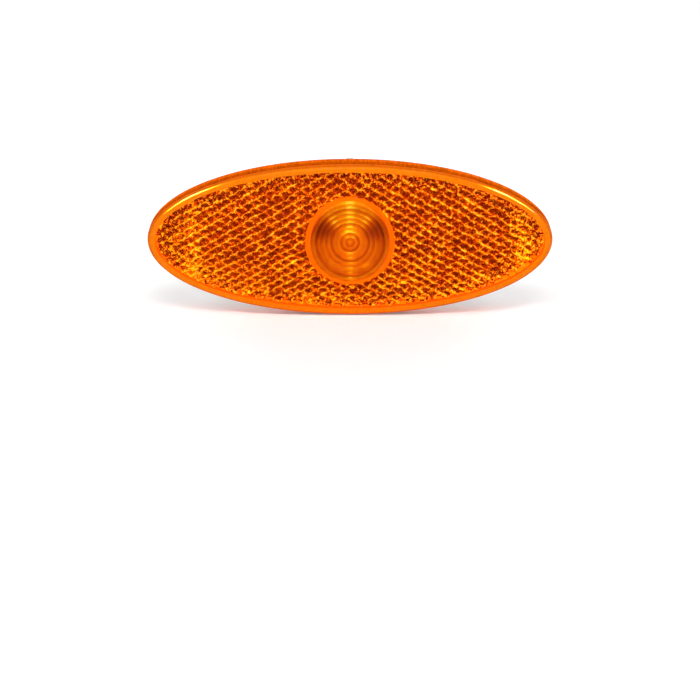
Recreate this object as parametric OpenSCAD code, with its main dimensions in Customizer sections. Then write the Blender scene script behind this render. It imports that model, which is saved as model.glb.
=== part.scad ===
/* [Lens] */
// Length of the lens, end to end
lens_length = 100; // [96:1:116]
// Height of the lens
lens_height = 38.4; // [37:0.2:46]
// Depth of the rim, from its back face to the foot of the domed face
rim_depth = 6.9; // [6.4:0.1:8.5]
// Radius of the rounded front edge
edge_round = 1.8; // [1.3:0.1:2.2]
// Draft of the skirt's outside, from its back to the rounded edge
side_draft = 0.1; // [0.05:0.05:0.2]
// How far the face domes out beyond the rim
face_rise = 4.2; // [3:0.1:5.5]
// Thickness of the face under the prisms
face_wall = 2.2; // [1.8:0.1:2.6]
// Thickness of the skirt beside the housing plate
skirt_wall = 2.3; // [2:0.1:2.6]
// Width of the bevel at the mouth of the skirt
mouth_bevel = 0.7; // [0.4:0.1:1]
// Width of the ledge that the housing plate is welded to
weld_ledge = 0.7; // [0.5:0.1:0.9]

/* [Reflex prisms] */
// Distance between neighbouring prisms
prism_pitch = 2.1; // [2:0.05:2.8]

/* [Ring lens] */
// Diameter of the ring lens in the middle of the face
eye_d = 21.9; // [19.9:0.2:23.9]
// Number of rings
eye_rings = 8; // [5:1:10]
// Width of the plain collar round the rings
eye_collar = 1.2; // [0.8:0.1:1.6]
// Depth of the outermost ring
ring_depth = 0.9; // [0.5:0.05:1.1]
// How far the ring lens bulges towards the bulb
eye_bulge = 1; // [0.6:0.1:1.6]

/* [Housing] */
// Thickness of the housing plate
plate_thickness = 1.8; // [1.4:0.1:2.4]
// Depth of the plate below the rim's back face
plate_recess = 0.9; // [0.6:0.1:1.2]
// Gap between the plate and the skirt
plate_gap = 0.06; // [0.04:0.01:0.12]
// Length of the dome where it meets the plate
dome_length = 51; // [48:1:54]
// Width of the dome where it meets the plate
dome_width = 29.6; // [28:0.2:31]
// Height of the dome above the plate
dome_height = 10.3; // [9:0.1:12]
// Thickness of the dome
dome_wall = 1.7; // [1.3:0.1:2]

/* [Tube] */
// Outer diameter of the tube at its mouth
tube_d = 22.6; // [22.2:0.1:24]
// Height of the tube's mouth above the plate
tube_height = 33.6; // [32:0.2:38]
// Wall of the tube at its mouth
tube_wall = 0.95; // [0.85:0.05:1.2]
// Widening of the tube's outside from its mouth to the dome, on the radius
tube_draft = 0.7; // [0.4:0.05:0.9]

/* [Hook tab] */
// Distance from the lens end to the outside of the tab's post
tab_inset = 8.3; // [8:0.1:11]
// Width of the tab
tab_width = 8.6; // [7:0.2:10]
// Thickness of the tab's post
tab_post = 2.2; // [1.6:0.1:2.6]
// Height of the tab above the plate
tab_height = 5.9; // [5:0.1:7]
// Thickness of the hook
hook_thickness = 1.7; // [1.2:0.1:2]
// How far the hook reaches beyond its post
hook_reach = 1.9; // [1.2:0.1:2.2]
// Height of the two ribs behind the tab
tab_rib_height = 5.2; // [4:0.1:5.6]
// Length of the two ribs behind the tab
tab_rib_length = 10.8; // [9:0.2:12]

/* [Clip post] */
// Distance from the lens end to the outside of the clip post
post_inset = 11; // [10.8:0.1:12.5]
// Depth of the clip post, along the lens
post_depth = 3.7; // [3.5:0.1:4]
// Width of the clip post at the top of its fins
post_width = 7.9; // [7.9:0.1:9]
// Widening of the middle fins from their top to the plate, at each side
post_flare = 2.4; // [1.6:0.1:2.6]
// Height of the clip post above the plate
post_height = 13.7; // [12.5:0.1:14.5]
// Thickness of the post's two cheeks and of the wall between them
cheek = 0.6; // [0.5:0.05:0.7]
// Height of the two gussets that brace the post
gusset_height = 12.7; // [11:0.1:13.2]
// Thickness of the gussets and of the tab's ribs
rib_thickness = 0.95; // [0.8:0.05:1.2]
// Distance between the outer faces of each pair of gussets or ribs
rib_span = 6.3; // [5.6:0.1:7]

/* [Spring clip] */
// Width of the steel strip
strip_width = 6; // [5.4:0.1:6.2]
// Thickness of the strip
strip_thickness = 0.5; // [0.4:0.05:0.6]
// Height of the clip's crest above the top of the post
crest_height = 2.7; // [2.2:0.1:3.4]
// Bend radius of the crest, at the middle of the strip
crest_bend = 1.9; // [1.5:0.1:2]
// Slope of the outer leg, from the vertical
leg_slope = 33; // [30:1:35]
// Height above the plate at which the outer leg turns back
elbow_height = 6.5; // [6:0.1:7.5]
// Bend radius of the elbow
elbow_bend = 1.5; // [0.8:0.1:1.6]
// Gap between the strip and the walls of its slot
slot_gap = 0.06; // [0.04:0.01:0.12]

/* [Bulb holder] */
// Thickness of the holder's disc
disc_thickness = 2.4; // [2:0.1:2.8]
// Depth of the disc below the tube's mouth
disc_recess = 0.3; // [0.1:0.05:0.5]
// Gap all round the turning holder
turn_gap = 0.2; // [0.15:0.01:0.25]
// Inner diameter of the collar inside the tube
collar_bore = 16.6; // [16.2:0.1:17]
// Thickness of the collar
collar_thickness = 2.4; // [2:0.1:2.8]
// Thickness of the bayonet lugs
lug_thickness = 1.7; // [1.4:0.1:2]
// How far the lugs reach beyond the spigot
lug_reach = 1.3; // [1:0.1:1.5]
// Turn between the locked and the free position, in degrees
unlock_turn = 45; // [40:1:50]
// Length of the socket inside the housing, below the lugs
socket_length = 8.5; // [7:0.5:10]
// Thickness of the rubber ring
seal_thickness = 1.4; // [1:0.1:1.8]

/* [Connector] */
// Width of the shroud
shroud_width = 14.1; // [13.6:0.1:14.5]
// Depth of the shroud, across its width
shroud_depth = 16.2; // [15.8:0.1:16.4]
// Height of the shroud above the disc
shroud_height = 8.6; // [7.5:0.1:10]
// Corner radius of the shroud
shroud_corner = 4.2; // [3.8:0.1:4.6]
// Wall of the shroud
shroud_wall = 1.2; // [1:0.05:1.4]
// Sideways offset of the shroud from the tube's axis
shroud_shift_x = 1.2; // [0.8:0.1:1.3]
// Offset of the shroud towards its keyed side
shroud_shift_y = 0.85; // [0.6:0.05:0.9]
// Distance between the two contact pins
pin_pitch = 4.45; // [4:0.05:4.6]
// Width of a pin, along the pitch
pin_width = 1.2; // [1:0.05:1.5]
// Thickness of a pin
pin_thickness = 0.64; // [0.5:0.02:0.8]
// Depth of the pins' tips below the shroud's mouth
pin_depth = 2.2; // [1.8:0.1:3]
// Gap between the terminals and the holder
terminal_gap = 0.05; // [0.03:0.01:0.08]

/* [Bulb] */
// Diameter of the bulb's glass
bulb_d = 10; // [9.4:0.1:10.2]
// Length of the glass outside the socket
glass_length = 18.5; // [16:0.5:19]
// Thickness of the wedge base
wedge_thickness = 2.2; // [2:0.1:2.6]
// Width of the wedge base
wedge_width = 9.4; // [9:0.1:9.6]
// Length of the wedge base in the socket
wedge_length = 6; // [5:0.2:6.5]

/* [Hidden] */
$fn = 64;

lens_amber = [1, 0.42, 0];
housing_grey = [0.8, 0.8, 0.79];
holder_black = [0.13, 0.13, 0.14];

// Everything is drawn with the rim's back face at height 0 and the back of the lamp upwards,
// then turned so that the lens faces -Y
oval_sides = 72;
lens_a = lens_length / 2;
lens_b = lens_height / 2;
slice = 0.01;
overlap = 0.4;

// Inside of the lens
seat_inset = skirt_wall;
mouth_inset = skirt_wall - mouth_bevel;
chamber_inset = skirt_wall + weld_ledge;
plate_top = -plate_recess;
plate_base = plate_top - plate_thickness;
face_foot = -rim_depth;
face_inset = edge_round + side_draft;
edge_turn = 60;
edge_steps = 4;
dome_steps = 5;
dome_centre = 0.12;

// The prisms are cube corners. Seen from the front, their vertices form rows of triangles with
// this side, and each third vertex has the same height
prism_step = prism_pitch / sqrt(3);
prism_drop = prism_pitch / sqrt(6);
prism_height = 2 * prism_drop;
prism_columns = ceil(lens_a / prism_step);
prism_rows = 2 * ceil(lens_b / prism_pitch);
field_base = face_level(0) - 2;

// Ring lens. Its collar stands just above the prisms round it
eye_r = eye_d / 2;
eye_sides = 50;
ring_step = (eye_r - eye_collar) / eye_rings;
eye_level = face_level(0) + face_wall + eye_bulge;
collar_rise = 0.1;
collar_level = face_level(eye_r / (lens_b - face_inset)) + face_wall + prism_height + collar_rise;

// Dome and tube
tube_r = tube_d / 2;
tube_foot_r = tube_r + tube_draft;
tube_top = plate_top + tube_height;
bore_r = tube_r - tube_wall;
dome_top = plate_top + dome_height;
dome_curve = 1.4;
dome_slices = 6;
dome_lap = 0.6;

// Holder, from the tube's mouth inwards
disc_r = bore_r - turn_gap;
disc_top = tube_top - disc_recess;
disc_base = disc_top - disc_thickness;
seal_gap = 0.05;
seal_base = disc_base - seal_thickness;
collar_top = seal_base - seal_gap;
collar_r = collar_bore / 2;
collar_base = collar_top - collar_thickness;
spigot_r = collar_r - turn_gap;
lug_r = spigot_r + lug_reach;
lug_top = collar_base - turn_gap;
lug_base = lug_top - lug_thickness;
lug_angle = 30;
slot_angle = lug_angle + 6;
stop_angle = 10;
stop_gap_angle = 2;
lug_count = 2;
socket_base = lug_base - socket_length;
socket_r = spigot_r - 0.6;

// Connector
shroud_top = disc_top + shroud_height;
cavity_floor = disc_top - 1;
key_width = 7;
key_depth = 6.6;
key_height = shroud_height - 2.4;
key_nose_width = 3.3;
key_step = 0.9;
key_slot = 1;
key_slot_width = 1.8;
key_rim = 0.4;
key_hole_d = 0.8;
key_hole_pitch = 1.7;
key_hole_inset = 1;
latch_width = 1.8;
latch_reach = 3.4;
latch_height = 3;
latch_foot_width = 4.3;
latch_foot = 0.5;
side_lug = 0.7;
side_lug_drop = 1.8;
side_lug_width = 1.6;
grip_rib_width = 1.2;
grip_rib_x = -2.4;
grip_rib = 0.5;

// Terminals and bulb
pin_top = shroud_top - pin_depth;
pin_tip = 0.3;
socket_ceiling = lug_base - socket_length + wedge_length + 1.6;
jog_height = socket_ceiling + 1.8;
jog_rise = 2.6;
contact_thickness = 0.4;
contact_x = wedge_thickness / 2 + terminal_gap + contact_thickness / 2;
contact_end = socket_base + 1.2;
wedge_top = socket_ceiling - 1.2;
glass_base = socket_base - 0.2;
glass_tip = glass_base - glass_length;
glass_r = bulb_d / 2;

// Hook tab and clip post
tab_out = lens_a - tab_inset;
tab_in = tab_out - tab_post;
tab_top = plate_top + tab_height;
post_out = lens_a - post_inset;
post_in = post_out - post_depth;
post_top = plate_top + post_height;
rib_offset = rib_span / 2 - rib_thickness;
cheek_in = strip_width / 2 + slot_gap;
strip_x = post_in + cheek + slot_gap + strip_thickness / 2;
strip_foot = plate_top + 1.5;
socket_height = 4.4;
fin = 0.9;
cap_height = 0.7;
cap_lip = 0.2;

module seated() {
    rotate([-90, 0, 0]) children();
}

module oval(a, b) {
    polygon([for (i = [0 : oval_sides - 1]) [a * cos(360 * i / oval_sides), b * sin(360 * i / oval_sides)]]);
}

function reverse(list) = [for (i = [len(list) - 1 : -1 : 0]) list[i]];

module oval_slab(inset, level, thickness = slice) {
    translate([0, 0, level]) linear_extrude(thickness) oval(lens_a - inset, lens_b - inset);
}

module rounded_rectangle(width, depth, radius) {
    square([width - 2 * radius, depth], center = true);
    square([width, depth - 2 * radius], center = true);
    for (x = [-1, 1], y = [-1, 1])
        translate([x * (width / 2 - radius), y * (depth / 2 - radius)]) circle(radius);
}

// Level of the outer face at a share of the way from the middle of the lens to its rim
function face_level(share) = face_foot - face_rise * (1 - share * share);

// Rounded front edge and domed face as pairs of inset and level
function edge_profile() = [
    for (i = [0 : edge_steps])
        let (turn = edge_turn * i / edge_steps)
            [side_draft + edge_round * (1 - cos(turn)), face_foot + edge_round * (1 - sin(turn))]
];
function face_profile() = [
    for (i = [0 : dome_steps])
        let (share = dome_centre + (1 - dome_centre) * cos(90 * i / dome_steps))
            [face_inset + (1 - share) * (lens_b - face_inset), face_level(share)]
];

module lens_body() {
    profile = concat([[0, -slice]], edge_profile(), face_profile());
    for (i = [0 : len(profile) - 2])
        hull() {
            profile_slab(profile[i]);
            profile_slab(profile[i + 1]);
        }
}

// A thin slice of the body. Inside the foot of the dome, its length and height shrink by the same share
module profile_slab(point) {
    share = max(0, point[0] - face_inset) / (lens_b - face_inset);
    edge = min(point[0], face_inset);
    translate([0, 0, point[1]])
        linear_extrude(slice)
            oval((lens_a - edge) * (1 - share), (lens_b - edge) * (1 - share));
}

// A vertex of the prism field, in a row that is numbered from the middle of the lens
function prism_vertex(x, row) =
    let (
        y = row * prism_pitch / 2,
        share = min(1, norm([x / (lens_a - face_inset), y / (lens_b - face_inset)])),
        third = (round(abs(x) / prism_step - row / 2) - row + 3 * prism_rows) % 3
    )
    [x, y, face_level(share) + face_wall + prism_height - third * prism_drop];

// Even rows have a vertex in the middle, odd rows lie half a step aside and end in two half steps
function prism_row(row) =
    let (end = prism_columns)
    row % 2 == 0
        ? [for (i = [-end : end]) prism_vertex(i * prism_step, row)]
        : [
            prism_vertex(-end * prism_step, row),
            for (i = [-end : end - 1]) prism_vertex((i + 0.5) * prism_step, row),
            prism_vertex(end * prism_step, row)
        ];

// Triangles between an even row and the odd row beside it, given the number of each row's first vertex
function prism_strip(even, odd, flip) =
    let (
        last = 2 * prism_columns,
        strip = [for (i = [0 : last]) each [
            [even + i, odd + i, odd + i + 1],
            if (i < last) [even + i, odd + i + 1, even + i + 1]
        ]]
    )
    [for (t = strip) flip ? [t[0], t[2], t[1]] : t];

// Block under the whole face, with the prisms on its top
module prism_field() {
    rows = [for (row = [-prism_rows : prism_rows]) prism_row(row)];
    row_length = 2 * prism_columns + 1;
    starts = [for (i = [0 : len(rows) - 1]) i * row_length + floor(i / 2)];
    count = starts[len(rows) - 1] + row_length;
    x = prism_columns * prism_step;
    y = prism_rows * prism_pitch / 2;
    strips = [for (i = [0 : len(rows) - 2])
        each i % 2 == 0
            ? prism_strip(starts[i], starts[i + 1], false)
            : prism_strip(starts[i + 1], starts[i], true)];
    ends = [for (i = [0 : len(rows) - 1]) starts[i] + (i % 2 == 0 ? row_length - 1 : row_length)];
    last_row = [for (i = [0 : row_length - 1]) starts[len(rows) - 1] + i];
    polyhedron(
        points = concat(
            [for (row = rows) each row],
            [[-x, -y, field_base], [x, -y, field_base], [x, y, field_base], [-x, y, field_base]]
        ),
        faces = concat(strips, [
            [count, count + 1, count + 2, count + 3],
            concat(reverse([for (i = [0 : row_length - 1]) i]), [count, count + 1]),
            concat(last_row, [count + 2, count + 3]),
            concat(starts, [count + 3, count]),
            concat(reverse(ends), [count + 1, count + 2])
        ])
    );
}

function ring_level(r) = eye_level - eye_bulge * pow(r / eye_r, 2);

module ring_lens() {
    rings = [for (i = [0 : eye_rings - 1]) each [
        [i * ring_step, ring_level(i * ring_step) + ring_depth * i / eye_rings],
        [(i + 1) * ring_step, ring_level((i + 1) * ring_step)]
    ]];
    rotate_extrude($fn = eye_sides)
        polygon(concat(
            rings,
            [
                [eye_r - eye_collar, collar_level], [eye_r, collar_level],
                [eye_r, field_base], [0, field_base]
            ]
        ));
}

module lens() {
    color(lens_amber)
        seated()
            difference() {
                lens_body();
                hull() {
                    oval_slab(mouth_inset, 0);
                    oval_slab(seat_inset, plate_top);
                }
                oval_slab(seat_inset, plate_base, plate_thickness + overlap);
                difference() {
                    oval_slab(chamber_inset, field_base, plate_base - field_base + overlap);
                    difference() {
                        prism_field();
                        translate([0, 0, field_base - overlap])
                            cylinder(r = eye_r, h = rim_depth + face_rise, $fn = eye_sides);
                    }
                    ring_lens();
                }
            }
}

function dome_share(rise) = 1 - pow(1 - pow(rise, dome_curve), 1 / dome_curve);

module dome_solid(length, width, top_r, base, top) {
    hull()
        for (i = [0 : dome_slices]) {
            rise = sin(90 * i / dome_slices);
            share = dome_share(rise);
            translate([0, 0, base + (top - base) * rise])
                linear_extrude(slice)
                    oval(length / 2 * (1 - share) + top_r * share, width / 2 * (1 - share) + top_r * share);
        }
}

// A plate standing on edge across the ribs, drawn in the plane of length and height
module upright(y, thickness) {
    translate([0, y + thickness / 2, 0]) rotate([90, 0, 0]) linear_extrude(thickness) children();
}

module rib_pair() {
    for (side = [-1, 1]) upright(side * (rib_offset + rib_thickness / 2), rib_thickness) children();
}

module hook_tab() {
    root = plate_top - overlap;
    hook_base = tab_top - hook_thickness;
    tip = tab_out + hook_reach;
    upright(0, tab_width)
        polygon([
            [tab_in, root], [tab_out, root], [tab_out, hook_base + overlap], [tab_in, hook_base + overlap]
        ]);
    intersection() {
        upright(0, tab_width)
            polygon([
                [tab_in, hook_base - hook_reach / 2], [tab_out, hook_base - hook_reach / 2],
                [tip - 0.3, hook_base + 0.2], [tip, hook_base + 0.5],
                [tip, tab_top - 0.2], [tip - 0.2, tab_top], [tab_in, tab_top]
            ]);
        translate([0, 0, root])
            linear_extrude(tab_height + 2 * overlap)
                hook_outline(tip);
    }
    rib_start = tab_in + overlap;
    rib_end = tab_in - tab_rib_length;
    rib_top = plate_top + tab_rib_height;
    rib_pair()
        polygon([
            [rib_start, root], [rib_start, rib_top], [rib_end + 4.4, rib_top - 0.3],
            [rib_end + 3.6, rib_top - 0.8], [rib_end + 0.2, plate_top + 0.3], [rib_end, root]
        ]);
}

// Plan of the tab's head, with its outer corners rounded
module hook_outline(tip) {
    corner = 2.6;
    translate([tab_in, -tab_width / 2]) square([tip - corner - tab_in, tab_width]);
    translate([tip - corner - overlap, corner - tab_width / 2])
        square([corner + overlap, tab_width - 2 * corner]);
    for (side = [-1, 1]) translate([tip - corner, side * (tab_width / 2 - corner)]) circle(corner);
}

// One fin of the clip post, on both cheeks, wider at the plate than at the top
module post_fin(x, flare, top) {
    half_top = post_width / 2;
    half_foot = half_top + flare;
    for (side = [0, 1])
        mirror([0, side, 0])
            translate([x, 0, 0])
                rotate([90, 0, 90])
                    linear_extrude(fin)
                        polygon([
                            [cheek_in, plate_top - overlap], [half_foot, plate_top - overlap],
                            [half_top, top], [cheek_in, top]
                        ]);
}

module clip_post() {
    root = plate_top - overlap;
    gusset_top = plate_top + gusset_height;
    side_flare = 0.35 * post_flare;
    post_fin(post_in, side_flare, gusset_top);
    post_fin(post_in + 1.2, post_flare, post_top - cap_height / 2);
    post_fin(post_out - fin, side_flare, post_top - cap_height / 2);
    for (side = [0, 1])
        mirror([0, side, 0]) {
            translate([post_in, cheek_in, root]) cube([post_depth, cheek, gusset_top - root]);
            translate([post_in + fin, cheek_in, root])
                cube([post_depth - fin, cheek, post_top - root - cap_height / 2]);
            translate([post_in + fin - cap_lip / 2, cheek_in, post_top - cap_height])
                cube([post_depth - fin + cap_lip, post_width / 2 - cheek_in + cap_lip / 2, cap_height]);
        }
    translate([post_in, -cheek_in - overlap, root])
        cube([cheek, 2 * (cheek_in + overlap), gusset_height + overlap]);
    translate([post_in, -cheek_in - overlap, root])
        cube([post_depth, 2 * (cheek_in + overlap), socket_height + overlap]);
    dome_end = dome_length / 2;
    rib_pair()
        polygon([
            [post_in + cheek / 2, root], [post_in + cheek / 2, gusset_top],
            [post_in - 2.8, gusset_top], [post_in - 4.2, gusset_top - 0.5],
            [dome_end - 4, plate_top + 6], [dome_end - 6, plate_top + 4.4], [dome_end - 6, root]
        ]);
}

// Slot in the foot of the post, in which the strip is pressed
module clip_slot() {
    slot_width = strip_thickness + 2 * slot_gap;
    slot_length = strip_width + 2 * slot_gap;
    translate([strip_x - slot_width / 2, -slot_length / 2, strip_foot - slot_gap])
        cube([slot_width, slot_length, post_top]);
}

// Sector of a ring round the tube's axis, centred on a direction
module ring_sector(inner, outer, base, top, direction, angle) {
    translate([0, 0, base])
        rotate([0, 0, direction - angle / 2])
            rotate_extrude(angle = angle) translate([inner, 0]) square([outer - inner, top - base]);
}

module collar() {
    difference() {
        translate([0, 0, collar_base]) cylinder(r = bore_r + overlap, h = collar_thickness);
        translate([0, 0, collar_base - overlap]) cylinder(r = collar_r, h = collar_thickness + 2 * overlap);
        for (i = [0 : lug_count - 1])
            ring_sector(
                collar_r - overlap, lug_r + turn_gap, collar_base - overlap, collar_top + overlap,
                i * 360 / lug_count + unlock_turn, slot_angle
            );
    }
    stop_offset = (lug_angle + stop_angle) / 2 + stop_gap_angle;
    for (i = [0 : lug_count - 1], direction = [-stop_offset, unlock_turn + stop_offset])
        ring_sector(
            collar_r + overlap, bore_r + overlap, lug_base, collar_base + overlap,
            i * 360 / lug_count + direction, stop_angle
        );
}

module housing() {
    color(housing_grey)
        seated() {
            difference() {
                union() {
                    translate([0, 0, plate_base])
                        linear_extrude(plate_thickness)
                            oval(lens_a - seat_inset - plate_gap, lens_b - seat_inset - plate_gap);
                    dome_solid(
                        dome_length, dome_width, tube_foot_r - dome_lap, plate_top - overlap, dome_top
                    );
                    translate([0, 0, dome_top - overlap])
                        cylinder(r1 = tube_foot_r, r2 = tube_r, h = tube_top - dome_top + overlap);
                    hook_tab();
                    mirror([1, 0, 0]) clip_post();
                }
                dome_solid(
                    dome_length - 2 * dome_wall, dome_width - 2 * dome_wall, bore_r - dome_lap,
                    plate_base - overlap, dome_top - dome_wall
                );
                translate([0, 0, plate_top]) cylinder(r = bore_r, h = tube_height + overlap);
                mirror([1, 0, 0]) clip_slot();
            }
            collar();
        }
}

// Corner of a path, rounded to a bend radius
function bend(before, corner, after, radius, steps = 8) =
    let (
        u = (before - corner) / norm(before - corner),
        v = (after - corner) / norm(after - corner),
        half = acos(u * v) / 2,
        centre = corner + (u + v) / norm(u + v) * radius / sin(half),
        first = corner + u * radius / tan(half) - centre,
        last = corner + v * radius / tan(half) - centre,
        turn = (180 - 2 * half) * sign(first.x * last.y - first.y * last.x)
    )
    [for (i = [0 : steps])
        let (a = turn * i / steps)
            centre + [first.x * cos(a) - first.y * sin(a), first.x * sin(a) + first.y * cos(a)]];

function path_side(path, shift) = [
    for (i = [0 : len(path) - 1])
        let (
            along = path[min(i + 1, len(path) - 1)] - path[max(i - 1, 0)],
            unit = along / norm(along)
        )
        path[i] + shift * [-unit.y, unit.x]
];

module spring_clip() {
    apex_level = post_top + crest_height - strip_thickness / 2 - crest_bend + crest_bend / tan(leg_slope / 2);
    elbow_level = plate_top + elbow_height;
    foot = [strip_x, strip_foot];
    apex = [strip_x, apex_level];
    elbow = [strip_x + (apex_level - elbow_level) * tan(leg_slope), elbow_level];
    knee = elbow - [1.1, 2.7];
    toe = [knee.x - 3.2, plate_top + strip_thickness];
    path = concat(
        [foot], bend(foot, apex, elbow, crest_bend, 12), bend(apex, elbow, knee, elbow_bend),
        bend(elbow, knee, toe, 2 * elbow_bend, 4), [toe]
    );
    color("silver")
        seated()
            mirror([1, 0, 0])
                upright(0, strip_width)
                    polygon(concat(
                        path_side(path, strip_thickness / 2),
                        reverse(path_side(path, -strip_thickness / 2))
                    ));
}

module shroud() {
    translate([shroud_shift_x, shroud_shift_y, 0]) {
        translate([0, 0, disc_top - overlap])
            linear_extrude(shroud_height + overlap)
                intersection() {
                    rounded_rectangle(shroud_width, shroud_depth, shroud_corner);
                    translate([-shroud_shift_x, -shroud_shift_y]) circle(disc_r);
                }
        shroud_tab(latch_foot_width, latch_foot);
        shroud_tab(latch_width, latch_reach);
        translate([(shroud_width - shroud_wall) / 2, -side_lug_width / 2 - shroud_shift_y, disc_top - overlap])
            cube([side_lug + shroud_wall / 2, side_lug_width, shroud_height - side_lug_drop + overlap]);
        translate([grip_rib_x - grip_rib_width / 2, (shroud_depth - shroud_wall) / 2, disc_top - overlap])
            cube([grip_rib_width, grip_rib + shroud_wall / 2, shroud_height]);
    }
}

// Step of the latch tab, on the shroud's side away from the key
module shroud_tab(width, reach) {
    translate([-width / 2 - shroud_shift_x, -shroud_depth / 2 - reach, disc_top + shroud_height - latch_height])
        cube([width, reach + shroud_wall / 2, latch_height]);
}

module shroud_cavity() {
    translate([shroud_shift_x, shroud_shift_y, cavity_floor])
        linear_extrude(shroud_top - cavity_floor + overlap)
            rounded_rectangle(
                shroud_width - 2 * shroud_wall, shroud_depth - 2 * shroud_wall, shroud_corner - shroud_wall
            );
}

// Block beside the pins that keeps a wrong plug out, with a narrower nose towards the pins
module key_block() {
    back = shroud_shift_y + shroud_depth / 2 - shroud_wall;
    front = back - key_depth;
    level = cavity_floor - overlap;
    height = disc_top + key_height - level;
    slot_x = (key_width - key_slot_width) / 2 - key_rim;
    translate([shroud_shift_x, 0, 0])
        difference() {
            union() {
                translate([-key_width / 2, front + key_step, level])
                    cube([key_width, key_depth - key_step + overlap, height]);
                translate([-key_nose_width / 2, front, level]) cube([key_nose_width, key_depth, height]);
            }
            for (side = [-1, 1])
                translate([side * slot_x - key_slot_width / 2, front + key_step + key_rim, cavity_floor])
                    cube([key_slot_width, key_slot, height]);
            translate([-key_slot / 2, (front + back - key_slot) / 2, cavity_floor])
                cube([key_slot, key_slot, height]);
            for (x = [-1 : 1])
                translate([x * key_hole_pitch, back - key_hole_inset, cavity_floor])
                    cylinder(d = key_hole_d, h = height);
        }
}

function pin_x(side) = shroud_shift_x + side * pin_pitch / 2;

// Middle line of a terminal, seen on its flat side: pin, slanting run and contact beside the bulb
function terminal_path(side) = [
    [pin_x(side), pin_top], [pin_x(side), jog_height + jog_rise], [side * contact_x, jog_height],
    [side * contact_x, contact_end]
];

module terminal(side) {
    pin = pin_width / 2;
    contact = contact_thickness / 2;
    points = terminal_path(side);
    color("gold")
        seated()
            upright(0, pin_thickness)
                polygon([
                    points[0] + [pin, -pin_tip], points[0] + [pin - pin_tip, 0],
                    points[0] - [pin - pin_tip, 0], points[0] - [pin, pin_tip],
                    points[1] - [pin, 0], points[2] - [contact, 0], points[3] - [contact, 0],
                    points[3] + [contact, 0], points[2] + [contact, 0], points[1] + [pin, 0]
                ]);
}

module terminal_left() {
    terminal(-1);
}

module terminal_right() {
    terminal(1);
}

module terminal_slots() {
    for (side = [-1, 1]) {
        points = terminal_path(side);
        half = pin_width / 2 + terminal_gap;
        upright(0, pin_thickness + 2 * terminal_gap)
            polygon([
                [points[0].x - half, cavity_floor + 1], [points[0].x + half, cavity_floor + 1],
                points[1] + [half, -0.1], [points[2].x + half, points[2].y - 0.1],
                [points[2].x + half, socket_ceiling - 0.5], [points[2].x - half, socket_ceiling - 0.5],
                [points[2].x - half, points[2].y + 0.1], points[1] + [-half, 0.1]
            ]);
    }
}

module bulb_holder() {
    color(holder_black)
        seated()
            difference() {
                union() {
                    translate([0, 0, disc_base]) cylinder(r = disc_r, h = disc_thickness);
                    translate([0, 0, lug_base]) cylinder(r = spigot_r, h = disc_base - lug_base + overlap);
                    translate([0, 0, socket_base])
                        cylinder(r = socket_r, h = lug_base - socket_base + overlap);
                    for (i = [0 : lug_count - 1])
                        ring_sector(
                            spigot_r - overlap, lug_r, lug_base, lug_top, i * 360 / lug_count, lug_angle
                        );
                    difference() {
                        shroud();
                        shroud_cavity();
                    }
                    key_block();
                }
                difference() {
                    shroud_cavity();
                    key_block();
                }
                terminal_slots();
                socket_cavity();
            }
}

// Slot for the bulb's wedge base and the two contacts beside it
module socket_cavity() {
    width = wedge_thickness + 2 * (contact_thickness + terminal_gap + 0.3);
    depth = wedge_width + 0.4;
    translate([-width / 2, -depth / 2, socket_base - overlap])
        cube([width, depth, socket_ceiling - socket_base + overlap]);
}

module holder_seal() {
    inner = spigot_r + 0.1;
    color([0.2, 0.2, 0.2])
        seated()
            translate([0, 0, seal_base])
                difference() {
                    cylinder(r = disc_r - 0.2, h = seal_thickness);
                    translate([0, 0, -overlap]) cylinder(r = inner, h = seal_thickness + 2 * overlap);
                }
}

module bulb() {
    color([0.9, 0.95, 1, 0.5])
        seated() {
            translate([0, 0, glass_tip + glass_r])
                cylinder(r = glass_r, h = glass_length - glass_r - 2);
            translate([0, 0, glass_tip + glass_r]) sphere(glass_r);
            translate([0, 0, glass_base - 2]) cylinder(r1 = glass_r, r2 = wedge_width / 2, h = 2);
            translate([-wedge_thickness / 2, -wedge_width / 2, glass_base - overlap])
                cube([wedge_thickness, wedge_width, wedge_top - glass_base + overlap]);
        }
}

lens();
housing();
spring_clip();
bulb_holder();
holder_seal();
terminal_left();
terminal_right();
bulb();
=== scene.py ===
import bpy, bmesh, math
from mathutils import Matrix, Vector


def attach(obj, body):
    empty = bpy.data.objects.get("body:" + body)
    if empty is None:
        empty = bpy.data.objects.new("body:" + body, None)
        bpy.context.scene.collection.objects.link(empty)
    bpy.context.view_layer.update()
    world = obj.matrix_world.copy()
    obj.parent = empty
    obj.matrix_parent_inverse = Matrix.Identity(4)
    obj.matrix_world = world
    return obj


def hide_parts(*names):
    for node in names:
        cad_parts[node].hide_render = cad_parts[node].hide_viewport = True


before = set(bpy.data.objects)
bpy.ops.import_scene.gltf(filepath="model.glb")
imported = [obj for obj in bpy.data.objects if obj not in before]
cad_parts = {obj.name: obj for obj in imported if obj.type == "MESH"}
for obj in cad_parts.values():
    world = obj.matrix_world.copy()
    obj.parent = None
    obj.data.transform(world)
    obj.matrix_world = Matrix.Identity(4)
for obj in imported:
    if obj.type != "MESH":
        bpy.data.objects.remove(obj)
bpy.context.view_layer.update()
print("frame loaded")

# Pieces are drawn in millimetres with the rim's back face at height 0 and the back of the lamp up,
# then turned as the CAD model is, so that the lens faces -Y
toRow = Matrix(((0.001, 0, 0, 0), (0, 0, 0.001, 0), (0, -0.001, 0, 0), (0, 0, 0, 1)))
overlap = 0.4  # how far a cutting shape passes what it cuts


def newObject(name, mesh):
    obj = bpy.data.objects.new(name, mesh)
    bpy.context.scene.collection.objects.link(obj)
    return obj


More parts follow.
